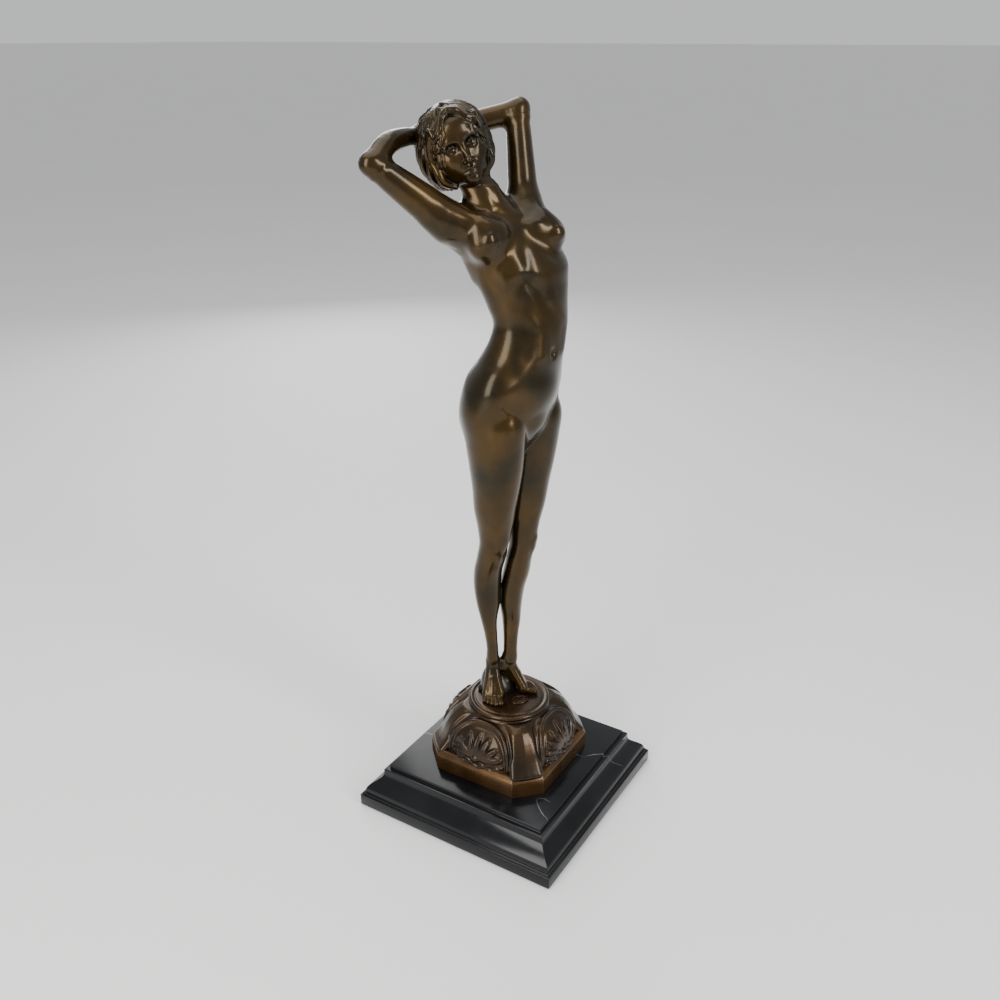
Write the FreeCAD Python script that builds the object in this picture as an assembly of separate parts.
"""Bronze statuette on a marble base: standing nude on tiptoe, hands behind the head.

Millimetres. Origin at the centre of the underside, +Z up, the figure faces -Y,
its right hand side is -X.
"""
import FreeCAD, Part
import math
import os

from FreeCAD import Vector

# ---------------------------------------------------------------- driving dimensions
BASE_SIDE = 160.0            # marble, square, at the bottom
BASE_TOP_SIDE = 127.5        # marble, flat top
FELT_THICKNESS = 1.0
BASE_LIFT = 0.6              # marble edge above the table, the felt is proud by this
BASE_TOP = 32.0              # height of the marble's top face
PLINTH_SIDE = 96.0           # octagonal band, across its flats
PLINTH_CHAMFER = 16.5        # leg of each cut corner
BAND_TOP = 47.5              # height of the top of the plain band
DISC_TOP = 80.0              # height of the round top that the figure stands on
DISC_RADIUS = 29.5
SHELL = 3.5                  # wall thickness of the bronze plinth
CORE_SCALE = 0.74            # hollow core of the trunk against its outside
JOINT_GAP = 0.02             # brazed joints and seated parts, left open by this much

STUD_RADIUS = 2.0
STUD_RISE = 5.0              # how far a stud reaches up into a foot
STUD_PLACES = [(-11.4, 5.0), (12.4, -9.6)]   # under the balls of the feet
PIN_DEPTH = 6.0              # the locating pin, down into the marble
ROD_RADIUS = 3.0
HOLE_CLEARANCE = 0.25


# ---------------------------------------------------------------- helpers
def closed_wire(points):
    """Closed wire of straight edges through the points."""
    return Part.makePolygon(list(points) + [points[0]])


def prism(points, height):
    """Solid from a flat outline, extruded up by height."""
    return Part.Face(closed_wire(points)).extrude(Vector(0, 0, height))


def chamfered_square(half, cut, z):
    """Corners of a square with cut corners, at height z."""
    inner = half - cut
    corners = []
    for turn in range(4):
        angle = math.radians(90 * turn)
        for x, y in ((half, -inner), (half, inner)):
            corners.append(Vector(x * math.cos(angle) - y * math.sin(angle),
                                  x * math.sin(angle) + y * math.cos(angle), z))
    return corners


def rod(start, direction, radius, length):
    """Round rod from a start point along a direction."""
    return Part.makeCylinder(radius, length, start, direction)


def washer(x, y, z, outer, inner, thickness):
    """Flat washer whose underside is at z."""
    ring = Part.makeCylinder(outer, thickness, Vector(x, y, z))
    return ring.cut(Part.makeCylinder(inner, thickness, Vector(x, y, z)))


def hex_nut(x, y, z, across_flats, bore, thickness):
    """Plain hexagon nut whose underside is at z."""
    reach = across_flats / math.sqrt(3)
    corners = [Vector(x + reach * math.cos(math.radians(60 * i)),
                      y + reach * math.sin(math.radians(60 * i)), z) for i in range(6)]
    return prism(corners, thickness).cut(Part.makeCylinder(bore, thickness, Vector(x, y, z)))


RING_POINTS = 12
RING_SEAM = math.radians(100)    # the surface's seam runs down the back


def ring_wire(centre, normal, facing_deg, half_side, half_front, half_back=None):
    """Smooth oval across a limb.

    facing_deg turns the oval's front from -Y towards -X; the front and back halves
    may have different depths.
    """
    if half_back is None:
        half_back = half_front
    facing = math.radians(facing_deg)
    front = Vector(-math.sin(facing), -math.cos(facing), 0)
    side = front.cross(normal)
    if side.Length < 1e-6:
        side = Vector(1, 0, 0)
    side.normalize()
    ahead = normal.cross(side)
    ahead.normalize()
    points = []
    for i in range(RING_POINTS):
        angle = 2 * math.pi * i / RING_POINTS - RING_SEAM
        depth = half_front if math.sin(angle) >= 0 else half_back
        points.append(centre + side * (half_side * math.cos(angle)) + ahead * (depth * math.sin(angle)))
    curve = Part.BSplineCurve()
    curve.interpolate(points, True)
    return Part.Wire([curve.toShape()])


def limb(stations, scale=1.0):
    """Closed loft through stations of (x, y, z, half side, half front, half back, facing)."""
    centres = [Vector(s[0], s[1], s[2]) for s in stations]
    wires = []
    for i, station in enumerate(stations):
        before = centres[max(i - 1, 0)]
        after = centres[min(i + 1, len(centres) - 1)]
        normal = after - before
        normal.normalize()
        side, front, back, facing = station[3:]
        wires.append(ring_wire(centres[i], normal, facing, side * scale, front * scale, back * scale))
    return Part.makeLoft(wires, True, False)


def ellipsoid(centre, radii, facing_deg=0.0, tilt_deg=0.0):
    """Ellipsoid turned about Z by its facing and leaned sideways by its tilt."""
    ball = Part.makeSphere(1.0)
    stretch = FreeCAD.Matrix()
    stretch.scale(radii[0], radii[1], radii[2])
    shape = ball.transformGeometry(stretch)
    shape.rotate(Vector(0, 0, 0), Vector(0, 1, 0), tilt_deg)
    shape.rotate(Vector(0, 0, 0), Vector(0, 0, 1), -facing_deg)
    shape.translate(centre)
    return shape


def fused(shapes):
    """One solid from overlapping solids."""
    result = shapes[0].multiFuse(shapes[1:])
    return max(result.Solids, key=lambda solid: solid.Volume)


def half_space(point, normal, size=120.0):
    """Big box on the side of a plane that the normal points to."""
    box = Part.makeBox(size, size, size, Vector(-size / 2, -size / 2, 0))
    turn = FreeCAD.Rotation(Vector(0, 0, 1), normal)
    box.Placement = FreeCAD.Placement(point, turn).multiply(box.Placement)
    return box


# ---------------------------------------------------------------- marble base and felt
def marble_profile():
    """Half section of the base: half side against height, from the bottom edge up."""
    half = BASE_SIDE / 2
    top_half = BASE_TOP_SIDE / 2
    ogee_foot = Vector(half - 2.8, 0, 12.4)
    ogee_head = Vector(top_half + 3.2, 0, 25.6)
    ogee = Part.BezierCurve()
    ogee.setPoles([ogee_foot,
                   ogee_foot + Vector(-4.4, 0, 0.6),
                   ogee_foot + Vector(-3.4, 0, 7.4),
                   ogee_head + Vector(3.0, 0, -0.2),
                   ogee_head])
    slab_top = 9.4
    first_step = 10.9
    neck_top = BASE_TOP - 3.2
    points_below = [Vector(half, 0, BASE_LIFT), Vector(half, 0, slab_top),
                    Vector(half - 1.4, 0, slab_top), Vector(half - 1.4, 0, first_step),
                    Vector(half - 2.8, 0, first_step), ogee_foot]
    points_above = [ogee_head, Vector(ogee_head.x, 0, neck_top), Vector(top_half, 0, neck_top),
                    Vector(top_half, 0, BASE_TOP)]
    return points_below, ogee, points_above


def moulded_bar(turn_deg):
    """The base's section, both sides, extruded right through along Y and then turned."""
    below, ogee, above = marble_profile()
    right = [Part.makeLine(a, b) for a, b in zip(below, below[1:])]
    right.append(ogee.toShape())
    right += [Part.makeLine(a, b) for a, b in zip(above, above[1:])]
    mirror = FreeCAD.Matrix()
    mirror.scale(-1, 1, 1)
    left = [edge.transformGeometry(mirror) for edge in right]
    foot, head = below[0], above[-1]
    floor_line = Part.makeLine(Vector(-foot.x, 0, foot.z), foot)
    top_line = Part.makeLine(Vector(-head.x, 0, head.z), head)
    wire = Part.Wire(Part.__sortEdges__(right + left + [floor_line, top_line]))
    bar = Part.Face(wire).extrude(Vector(0, BASE_SIDE + 20, 0))
    bar.translate(Vector(0, -(BASE_SIDE + 20) / 2, 0))
    bar.rotate(Vector(0, 0, 0), Vector(0, 0, 1), turn_deg)
    return bar


FELT_INSET = 4.0
COUNTERBORE_RADIUS = 13.0
COUNTERBORE_TOP = 17.0
PIN_PLACE = Vector(30.0, 12.0, 0)
PIN_RADIUS = 1.5


def marble_base():
    block = moulded_bar(0).common(moulded_bar(90))
    recess_half = BASE_SIDE / 2 - FELT_INSET
    recess = Part.makeBox(2 * recess_half, 2 * recess_half, FELT_THICKNESS - BASE_LIFT,
                          Vector(-recess_half, -recess_half, BASE_LIFT))
    counterbore = Part.makeCylinder(COUNTERBORE_RADIUS, COUNTERBORE_TOP, Vector(0, 0, 0))
    hole = Part.makeCylinder(ROD_RADIUS + 2 * HOLE_CLEARANCE, BASE_TOP, Vector(0, 0, 0))
    pin_hole = Part.makeCylinder(PIN_RADIUS + JOINT_GAP, PIN_DEPTH, PIN_PLACE + Vector(0, 0, BASE_TOP - PIN_DEPTH))
    return block.cut(recess).cut(counterbore).cut(hole).cut(pin_hole)


PIN_RISE = 4.0


def felt_pad():
    half = BASE_SIDE / 2 - FELT_INSET - 0.5
    sheet = Part.makeBox(2 * half, 2 * half, FELT_THICKNESS - JOINT_GAP, Vector(-half, -half, 0))
    return sheet.cut(Part.makeCylinder(COUNTERBORE_RADIUS, FELT_THICKNESS, Vector(0, 0, 0)))


def locating_pin():
    start = PIN_PLACE + Vector(0, 0, BASE_TOP - PIN_DEPTH + JOINT_GAP)
    return rod(start, Vector(0, 0, 1), PIN_RADIUS, PIN_DEPTH + PIN_RISE - 2 * JOINT_GAP)


# ---------------------------------------------------------------- bronze plinth
DISC_EDGE = 7.0              # height of the round disc's moulded edge
SHOULDER_HALF = 33.5         # half side of the plinth's body just under the disc
DISC_THICKNESS = 5.0
LUG_TOP = 50.0               # cast lugs that carry the anchor bar
NUT_SPACE_RADIUS = 26.0      # round recess under the disc that gives room for the nuts
BAR_THICKNESS = 5.0
BAR_WIDTH = 14.0
BAR_LENGTH = 64.0


def plinth_body(inset):
    """Octagonal body that narrows to the disc; inset gives the hollow inside."""
    half = PLINTH_SIDE / 2 - inset
    levels = [(half - 2.0, PLINTH_CHAMFER, BAND_TOP - inset), (half - 4.5, PLINTH_CHAMFER, 56.0 - inset),
              (half - 8.5, PLINTH_CHAMFER - 1, 65.0 - inset),
              (SHOULDER_HALF - inset, PLINTH_CHAMFER - 2.5, DISC_TOP - DISC_EDGE + 1 - inset)]
    wires = [closed_wire(chamfered_square(*level)) for level in levels]
    return Part.makeLoft(wires, True, True)


def arched_panel(turn_deg):
    """Raised arched panel on one face of the plinth, leaning back with the body."""
    half_width = 27.0
    spring = 12.0
    rise = 27.0
    thickness = 6.0
    left = Vector(-half_width, 0, 0)
    right = Vector(half_width, 0, 0)
    left_spring = left + Vector(-1.0, 0, spring)
    right_spring = right + Vector(1.0, 0, spring)
    arch = Part.Arc(right_spring, Vector(0, 0, rise), left_spring).toShape()
    wire = Part.Wire([Part.makeLine(left, right), Part.makeLine(right, right_spring), arch,
                      Part.makeLine(left_spring, left)])
    plate = Part.Face(wire).extrude(Vector(0, thickness, 0))
    plate.rotate(Vector(0, 0, 0), Vector(1, 0, 0), -24.0)
    plate.translate(Vector(0, -(PLINTH_SIDE / 2 - 2.5), BAND_TOP))
    plate.rotate(Vector(0, 0, 0), Vector(0, 0, 1), turn_deg)
    return plate


def plinth_disc():
    """Round top with a double rounded lip, made by turning its section."""
    low = DISC_TOP - DISC_EDGE
    r = DISC_RADIUS
    middle = low + DISC_EDGE * 0.5
    axis_low = Vector(0, 0, low - 2)
    axis_high = Vector(0, 0, DISC_TOP)
    lower_lip = Part.Arc(Vector(r - 1.5, 0, low), Vector(r, 0, low + 1.6), Vector(r - 1.6, 0, middle)).toShape()
    upper_lip = Part.Arc(Vector(r - 1.6, 0, middle), Vector(r - 0.2, 0, middle + 1.8),
                         Vector(r - 2.0, 0, DISC_TOP)).toShape()
    edges = [Part.makeLine(axis_low, Vector(r - 1.5, 0, low - 2)),
             Part.makeLine(Vector(r - 1.5, 0, low - 2), Vector(r - 1.5, 0, low)),
             lower_lip, upper_lip,
             Part.makeLine(Vector(r - 2.0, 0, DISC_TOP), axis_high), Part.makeLine(axis_high, axis_low)]
    return Part.Face(Part.Wire(edges)).revolve(Vector(0, 0, 0), Vector(0, 0, 1), 360)


def plinth_casting():
    half = PLINTH_SIDE / 2
    band = prism(chamfered_square(half, PLINTH_CHAMFER, BASE_TOP + JOINT_GAP), BAND_TOP - BASE_TOP - JOINT_GAP)
    outside = band.multiFuse([plinth_body(0.0), plinth_disc()] + [arched_panel(90 * i) for i in range(4)])
    inside_band = prism(chamfered_square(half - SHELL, PLINTH_CHAMFER - SHELL * 0.6, BASE_TOP),
                        BAND_TOP - BASE_TOP - SHELL + 1)
    inside_body = plinth_body(SHELL + 1.5)
    ceiling = Part.makeBox(100, 100, 60, Vector(-50, -50, BASE_TOP))
    ceiling.translate(Vector(0, 0, DISC_TOP - DISC_THICKNESS - 60 - BASE_TOP))
    nut_space = Part.makeCylinder(NUT_SPACE_RADIUS, DISC_TOP - DISC_THICKNESS - BAND_TOP, Vector(0, 0, BAND_TOP))
    inside = inside_band.fuse(inside_body).common(ceiling).fuse(nut_space)
    lugs = []
    for side in (-1, 1):
        lugs.append(Part.makeBox(9.0, 18.0, 6.0, Vector(side * 33.0 - 4.5, -9.0, LUG_TOP - 6.0)))
    shell = outside.cut(inside)
    reach = prism(chamfered_square(half - 6.0, PLINTH_CHAMFER, BASE_TOP), DISC_TOP - BASE_TOP)
    shell = shell.fuse(lugs[0].common(reach)).fuse(lugs[1].common(reach))
    for x, y in STUD_PLACES:
        shell = shell.cut(rod(Vector(x, y, DISC_TOP - 20), Vector(0, 0, 1), STUD_RADIUS + HOLE_CLEARANCE, 30))
    pin_hole = Part.makeCylinder(PIN_RADIUS + JOINT_GAP, PIN_RISE, PIN_PLACE + Vector(0, 0, BASE_TOP))
    boss = Part.makeCylinder(4.5, PIN_RISE + 3, PIN_PLACE + Vector(0, 0, BASE_TOP + JOINT_GAP))
    wall_web = Part.makeBox(14.0, 6.0, PIN_RISE + 3, PIN_PLACE + Vector(1.0, -3.0, BASE_TOP + JOINT_GAP))
    return shell.fuse(boss).fuse(wall_web).cut(pin_hole).removeSplitter()


# ---------------------------------------------------------------- figure: body casting
# Each station is (x, y, z, half side, half front, half back, facing).
TRUNK = [
    (1.0, 1.0, 277.0, 24.0, 13.0, 20.0, 5), (1.0, 1.0, 286.0, 35.0, 21.0, 29.0, 5),
    (0.5, 1.0, 297.0, 40.0, 26.0, 33.0, 5),
    (0.5, 0.5, 310.0, 41.0, 27.0, 32.0, 5), (1.5, -1.5, 324.0, 37.5, 26.0, 27.0, 6),
    (4.0, -6.0, 340.0, 31.0, 23.0, 21.0, 9), (6.5, -10.0, 356.0, 27.5, 20.5, 19.5, 13),
    (5.5, -8.5, 370.0, 29.0, 21.0, 21.0, 18), (2.0, -3.0, 386.0, 32.0, 22.0, 23.0, 23),
    (-2.5, 3.0, 402.0, 33.5, 22.0, 23.0, 24), (-6.0, 7.5, 416.0, 30.0, 18.0, 19.0, 25),
    (-8.0, 10.0, 427.0, 18.0, 12.5, 13.0, 28), (-9.0, 13.0, 436.0, 10.0, 10.0, 10.0, 33)]
RIGHT_LEG = [
    (-19.0, 1.0, 310.0, 18.0, 20.0, 22.0, 5), (-18.5, 1.5, 286.0, 20.0, 21.5, 23.0, 5),
    (-15.5, 2.5, 260.0, 17.5, 18.5, 19.0, 8), (-12.0, 4.5, 230.0, 13.2, 14.0, 14.0, 12),
    (-9.5, 7.0, 205.0, 10.5, 11.0, 10.5, 18), (-7.5, 9.0, 188.0, 9.2, 9.5, 10.5, 22),
    (-5.5, 11.5, 168.0, 9.0, 8.0, 11.0, 30), (-4.0, 13.0, 146.0, 7.0, 6.0, 8.5, 38),
    (-3.0, 13.5, 126.0, 4.8, 4.8, 6.0, 45), (-3.0, 13.5, 108.0, 5.2, 5.5, 6.5, 50)]
LEFT_LEG = [
    (20.0, 0.5, 307.0, 18.0, 20.0, 22.0, 5), (19.5, 0.0, 281.0, 19.5, 21.0, 22.0, 3),
    (17.0, -1.5, 255.0, 17.2, 18.5, 18.5, 0), (14.5, -4.0, 225.0, 13.4, 13.5, 13.5, -5),
    (11.5, -6.8, 197.0, 10.3, 11.0, 10.0, -10), (10.5, -6.0, 182.0, 9.2, 9.0, 10.5, -12),
    (9.5, -3.5, 163.0, 9.0, 8.0, 10.5, -15), (8.0, -1.0, 142.0, 7.0, 6.0, 8.5, -20),
    (6.8, 0.8, 124.0, 4.8, 4.8, 6.0, -25), (6.3, 1.3, 107.0, 5.2, 5.5, 6.5, -30)]
RIGHT_FOOT = [(2.0, 17.0, 104.0, 4.5, 5.0, 4.5, 50), (-4.5, 12.0, 99.5, 6.0, 7.5, 7.0, 50),
              (-11.5, 5.5, 90.0, 8.0, 5.5, 5.5, 50), (-17.0, 0.5, 84.5, 9.0, 3.6, 3.2, 50),
              (-21.0, -2.8, 83.0, 8.0, 2.4, 2.2, 50)]
LEFT_FOOT = [(3.6, 6.5, 103.0, 4.5, 5.0, 4.5, -30), (7.5, -0.5, 98.5, 6.0, 7.5, 7.0, -30),
             (12.0, -8.5, 90.0, 8.0, 5.5, 5.5, -30), (15.5, -14.5, 84.5, 9.0, 3.6, 3.2, -30),
             (18.0, -18.8, 83.0, 8.0, 2.4, 2.2, -30)]
SOLE = 80.0 + JOINT_GAP

RIGHT_SHOULDER = Vector(-33.0, 20.0, 420.0)
RIGHT_ELBOW = Vector(-70.0, 50.0, 455.0)
RIGHT_WRIST = Vector(-23.0, 59.0, 465.5)
LEFT_SHOULDER = Vector(17.0, -2.0, 422.0)
LEFT_ELBOW = Vector(30.0, 15.0, 483.0)
LEFT_WRIST = Vector(12.0, 55.5, 475.5)
RIGHT_CUT = 21.0             # arm joint's distance from the shoulder along the arm
LEFT_CUT = 21.0
NECK_FOOT = Vector(-9.0, 12.0, 430.0)
HEAD_CENTRE = Vector(-15.5, 28.5, 463.0)
HEAD_FACING = 41.0
HEAD_TILT = -22.0
NECK_CUT = 9.0               # neck joint's distance from the neck's foot


def along(start, end, distance):
    """Point on the line from start to end, at a distance from start."""
    step = end - start
    step.normalize()
    return start + step * distance


def direction(start, end):
    step = end - start
    step.normalize()
    return step


def taper(start, end, sizes, facing):
    """Straight limb with evenly spaced ovals of (half side, half front)."""
    stations = []
    for i, (side, front) in enumerate(sizes):
        point = start + (end - start) * (i / (len(sizes) - 1))
        stations.append((point.x, point.y, point.z, side, front, front, facing))
    return limb(stations)


UPPER_ARM_SIZES = [(12.5, 12.0), (11.8, 12.2), (9.6, 10.6), (8.6, 9.6), (8.2, 8.6)]
FOREARM_SIZES = [(8.2, 8.4), (8.8, 8.2), (7.2, 6.8), (5.6, 5.0), (5.4, 4.4)]


def arm_root(inside, shoulder, elbow):
    """Shoulder and upper arm, starting inside the chest so that it blends with it."""
    points = [inside, (inside + shoulder) * 0.5] + [along(shoulder, elbow, d) for d in (3.0, 16.0, 32.0)]
    sizes = [(9.0, 9.0), (11.0, 11.0), (12.3, 12.0), (11.7, 12.1), (9.6, 10.6)]
    return limb([(p.x, p.y, p.z, side, front, front, 24) for p, (side, front) in zip(points, sizes)])


def whole_body():
    """Trunk, legs, feet and the roots of both arms, before the joints are cut."""
    breasts = [ellipsoid(Vector(-17.0, -4.5, 406.0), (12.5, 12.0, 12.0), 24),
               ellipsoid(Vector(13.5, -17.0, 407.0), (12.5, 12.0, 12.0), 24)]
    roots = [arm_root(Vector(-16.0, 11.0, 404.0), RIGHT_SHOULDER, RIGHT_ELBOW),
             arm_root(Vector(8.0, -1.0, 398.0), LEFT_SHOULDER, LEFT_ELBOW)]
    legs = [limb(RIGHT_LEG), limb(LEFT_LEG), limb(RIGHT_FOOT), limb(LEFT_FOOT)]
    return fused([limb(TRUNK)] + legs + breasts + roots)


def neck_plane():
    axis = direction(NECK_FOOT, HEAD_CENTRE)
    return along(NECK_FOOT, HEAD_CENTRE, NECK_CUT), axis


def arm_plane(shoulder, elbow, distance):
    return along(shoulder, elbow, distance), direction(shoulder, elbow)


JOINT_CUT_RADIUS = 20.0      # tool that faces off the body at each joint
JOINT_CUT_LENGTH = 70.0
DOWEL_RADIUS = 3.0
DOWEL_REACH = 8.0


def dowel(point, axis, clearance=0.0):
    """Round dowel centred on a joint's plane."""
    reach = DOWEL_REACH + clearance
    return rod(point - axis * reach, axis, DOWEL_RADIUS + clearance, 2 * reach)


def trunk_core():
    """Hollow left by the casting's core, from the hips to the upper chest."""
    return limb(TRUNK[1:9], CORE_SCALE)


def body_casting():
    body = whole_body()
    for point, axis in (arm_plane(RIGHT_SHOULDER, RIGHT_ELBOW, RIGHT_CUT),
                        arm_plane(LEFT_SHOULDER, LEFT_ELBOW, LEFT_CUT), neck_plane()):
        body = body.cut(rod(point, axis, JOINT_CUT_RADIUS, JOINT_CUT_LENGTH))
        body = body.cut(dowel(point, axis, JOINT_GAP))
    below = Part.makeBox(160, 160, 60, Vector(-80, -80, SOLE - 60))
    body = body.cut(below)
    for x, y in STUD_PLACES:
        body = body.cut(rod(Vector(x, y, SOLE - 1), Vector(0, 0, 1), STUD_RADIUS + JOINT_GAP, STUD_RISE + 1))
    hollow = body.cut(trunk_core())
    return max(hollow.Solids, key=lambda solid: solid.Volume)




# ---------------------------------------------------------------- figure: arms and head
def hand(wrist, tip, thickness):
    """Cupped hand with its fingers together, from the wrist to the finger tips."""
    sizes = [(5.2, 4.0), (6.8, thickness), (7.4, thickness), (6.4, thickness * 0.9), (4.0, thickness * 0.6)]
    return taper(wrist, tip, sizes, HEAD_FACING)


def arm(shoulder, elbow, wrist, tip, cut):
    upper = taper(shoulder, elbow, UPPER_ARM_SIZES, 24)
    elbow_ball = ellipsoid(elbow, (8.4, 8.4, 8.4))
    lower = taper(elbow, wrist, FOREARM_SIZES, 24)
    whole = fused([upper, elbow_ball, lower, hand(wrist, tip, 3.4)])
    point, axis = arm_plane(shoulder, elbow, cut)
    point = point + axis * JOINT_GAP
    whole = whole.common(half_space(point, axis, 240.0))
    return whole.cut(dowel(point, axis, JOINT_GAP)).cut(hair_space())


RIGHT_FINGERS = Vector(8.0, 54.5, 465.0)
LEFT_FINGERS = Vector(-11.0, 68.0, 473.5)


def head_masses():
    """Hair mass, face and neck."""
    hair = ellipsoid(HEAD_CENTRE + Vector(1.0, 1.5, 1.5), (24.5, 25.0, 23.0), HEAD_FACING, HEAD_TILT)
    face = ellipsoid(HEAD_CENTRE + Vector(-6.5, -8.0, -6.0), (14.5, 15.0, 20.0), HEAD_FACING, HEAD_TILT)
    neck = taper(NECK_FOOT, HEAD_CENTRE, [(10.5, 10.0), (9.4, 9.4), (9.2, 9.6), (10.5, 10.5)], HEAD_FACING)
    return hair, face, neck


def hair_space():
    """The room that the hair needs, which the hands lie against."""
    return ellipsoid(HEAD_CENTRE + Vector(1.0, 1.5, 1.5), (24.6, 25.1, 23.1), HEAD_FACING, HEAD_TILT)


def head_casting():
    head = fused(list(head_masses()))
    point, axis = neck_plane()
    point = point + axis * JOINT_GAP
    head = head.common(half_space(point, axis))
    return head.cut(dowel(point, axis, JOINT_GAP))


# ---------------------------------------------------------------- figure: what it stands on
def heel_mound(figure):
    """Low rough mound behind and between the heels, shaped to the feet it touches."""
    stations = [(4.5, 12.0, DISC_TOP + JOINT_GAP, 11.5, 12.0, 12.0, 20), (4.5, 12.0, 86.0, 11.0, 11.0, 12.0, 20),
                (5.0, 12.5, 92.0, 9.5, 9.0, 11.0, 20), (6.0, 13.5, 97.5, 7.0, 5.5, 7.5, 20)]
    pieces = limb(stations).cut(figure).Solids
    return max(pieces, key=lambda piece: piece.Volume)


SEAL_PLACE = Vector(-2.6, -10.4, DISC_TOP + JOINT_GAP)
SEAL_THICKNESS = 1.2


def seal_medallion():
    """Flat oval disc in front of the feet, its edge rounded over."""
    outline = Part.Ellipse(Vector(0, 0, 0), 6.6, 4.6).toShape()
    disc = Part.Face(Part.Wire([outline])).extrude(Vector(0, 0, SEAL_THICKNESS))
    disc = disc.makeFillet(0.5, [e for e in disc.Edges if e.BoundBox.ZMin > SEAL_THICKNESS - 0.01])
    disc.rotate(Vector(0, 0, 0), Vector(0, 0, 1), -35)
    disc.translate(SEAL_PLACE)
    return disc


# ---------------------------------------------------------------- steel fixings
WASHER_THICKNESS = 1.0
NUT_THICKNESS = 3.2
DISC_UNDERSIDE = DISC_TOP - DISC_THICKNESS


def foot_studs():
    length = STUD_RISE + DISC_THICKNESS + WASHER_THICKNESS + NUT_THICKNESS + 2
    return Part.makeCompound([rod(Vector(x, y, SOLE + STUD_RISE - 2 * JOINT_GAP), Vector(0, 0, -1),
                                  STUD_RADIUS, length) for x, y in STUD_PLACES])


def foot_washers():
    z = DISC_UNDERSIDE - WASHER_THICKNESS - JOINT_GAP
    return Part.makeCompound([washer(x, y, z, 4.5, STUD_RADIUS + HOLE_CLEARANCE, WASHER_THICKNESS)
                              for x, y in STUD_PLACES])


def foot_nuts():
    z = DISC_UNDERSIDE - WASHER_THICKNESS - NUT_THICKNESS - 2 * JOINT_GAP
    return Part.makeCompound([hex_nut(x, y, z, 7.0, STUD_RADIUS + JOINT_GAP, NUT_THICKNESS)
                              for x, y in STUD_PLACES])


def anchor_bar():
    z = LUG_TOP + JOINT_GAP
    bar = Part.makeBox(BAR_LENGTH, BAR_WIDTH, BAR_THICKNESS, Vector(-BAR_LENGTH / 2, -BAR_WIDTH / 2, z))
    return bar.cut(Part.makeCylinder(ROD_RADIUS + HOLE_CLEARANCE, BAR_THICKNESS, Vector(0, 0, z)))


TIE_NUT_FLATS = 10.0
TIE_NUT_THICKNESS = 5.0
TIE_WASHER_RADIUS = 9.0
TIE_WASHER_THICKNESS = 1.6
SPRING_THICKNESS = 1.4


def tie_levels():
    """Undersides of the stack at each end of the tie rod."""
    upper_washer = LUG_TOP + BAR_THICKNESS + 2 * JOINT_GAP
    upper_nut = upper_washer + TIE_WASHER_THICKNESS + JOINT_GAP
    lower_washer = COUNTERBORE_TOP - TIE_WASHER_THICKNESS - JOINT_GAP
    spring = lower_washer - SPRING_THICKNESS - JOINT_GAP
    lower_nut = spring - TIE_NUT_THICKNESS - JOINT_GAP
    return upper_washer, upper_nut, lower_washer, spring, lower_nut


def tie_rod():
    upper_nut, lower_nut = tie_levels()[1], tie_levels()[4]
    low = lower_nut - 2.0
    high = upper_nut + TIE_NUT_THICKNESS + 1.0
    return rod(Vector(0, 0, low), Vector(0, 0, 1), ROD_RADIUS, high - low)


def tie_nuts():
    upper_nut, lower_nut = tie_levels()[1], tie_levels()[4]
    return Part.makeCompound([hex_nut(0, 0, z, TIE_NUT_FLATS, ROD_RADIUS + JOINT_GAP, TIE_NUT_THICKNESS)
                              for z in (lower_nut, upper_nut)])


def tie_washers():
    upper, lower = tie_levels()[0], tie_levels()[2]
    return Part.makeCompound([washer(0, 0, z, TIE_WASHER_RADIUS, ROD_RADIUS + HOLE_CLEARANCE,
                                     TIE_WASHER_THICKNESS) for z in (lower, upper)])


def spring_washer():
    z = tie_levels()[3]
    ring = washer(0, 0, z, 5.6, ROD_RADIUS + HOLE_CLEARANCE, SPRING_THICKNESS)
    return ring.cut(Part.makeBox(6.0, 0.8, SPRING_THICKNESS, Vector(0.5, -0.4, z)))


# ---------------------------------------------------------------- write the nodes
def main():
    os.makedirs("parts", exist_ok=True)
    neck_point, neck_axis = neck_plane()
    right_point, right_axis = arm_plane(RIGHT_SHOULDER, RIGHT_ELBOW, RIGHT_CUT)
    left_point, left_axis = arm_plane(LEFT_SHOULDER, LEFT_ELBOW, LEFT_CUT)
    figure = body_casting()
    nodes = {
        "body_casting": figure,
        "head_casting": head_casting(),
        "right_arm": arm(RIGHT_SHOULDER, RIGHT_ELBOW, RIGHT_WRIST, RIGHT_FINGERS, RIGHT_CUT),
        "left_arm": arm(LEFT_SHOULDER, LEFT_ELBOW, LEFT_WRIST, LEFT_FINGERS, LEFT_CUT),
        "neck_dowel": dowel(neck_point, neck_axis),
        "right_shoulder_dowel": dowel(right_point, right_axis),
        "left_shoulder_dowel": dowel(left_point, left_axis),
        "heel_mound": heel_mound(figure),
        "seal_medallion": seal_medallion(),
        "plinth_casting": plinth_casting(),
        "foot_studs": foot_studs(),
        "foot_washers": foot_washers(),
        "foot_nuts": foot_nuts(),
        "anchor_bar": anchor_bar(),
        "tie_rod": tie_rod(),
        "tie_nuts": tie_nuts(),
        "tie_washers": tie_washers(),
        "spring_washer": spring_washer(),
        "locating_pin": locating_pin(),
        "marble_base": marble_base(),
        "felt_pad": felt_pad(),
    }
    for name, shape in nodes.items():
        box = shape.BoundBox
        print(name, "solids", len(shape.Solids), "valid", shape.isValid(), "volume", round(shape.Volume),
              "z", round(box.ZMin, 2), round(box.ZMax, 2))
        shape.exportStep("parts/%s.step" % name)


main()
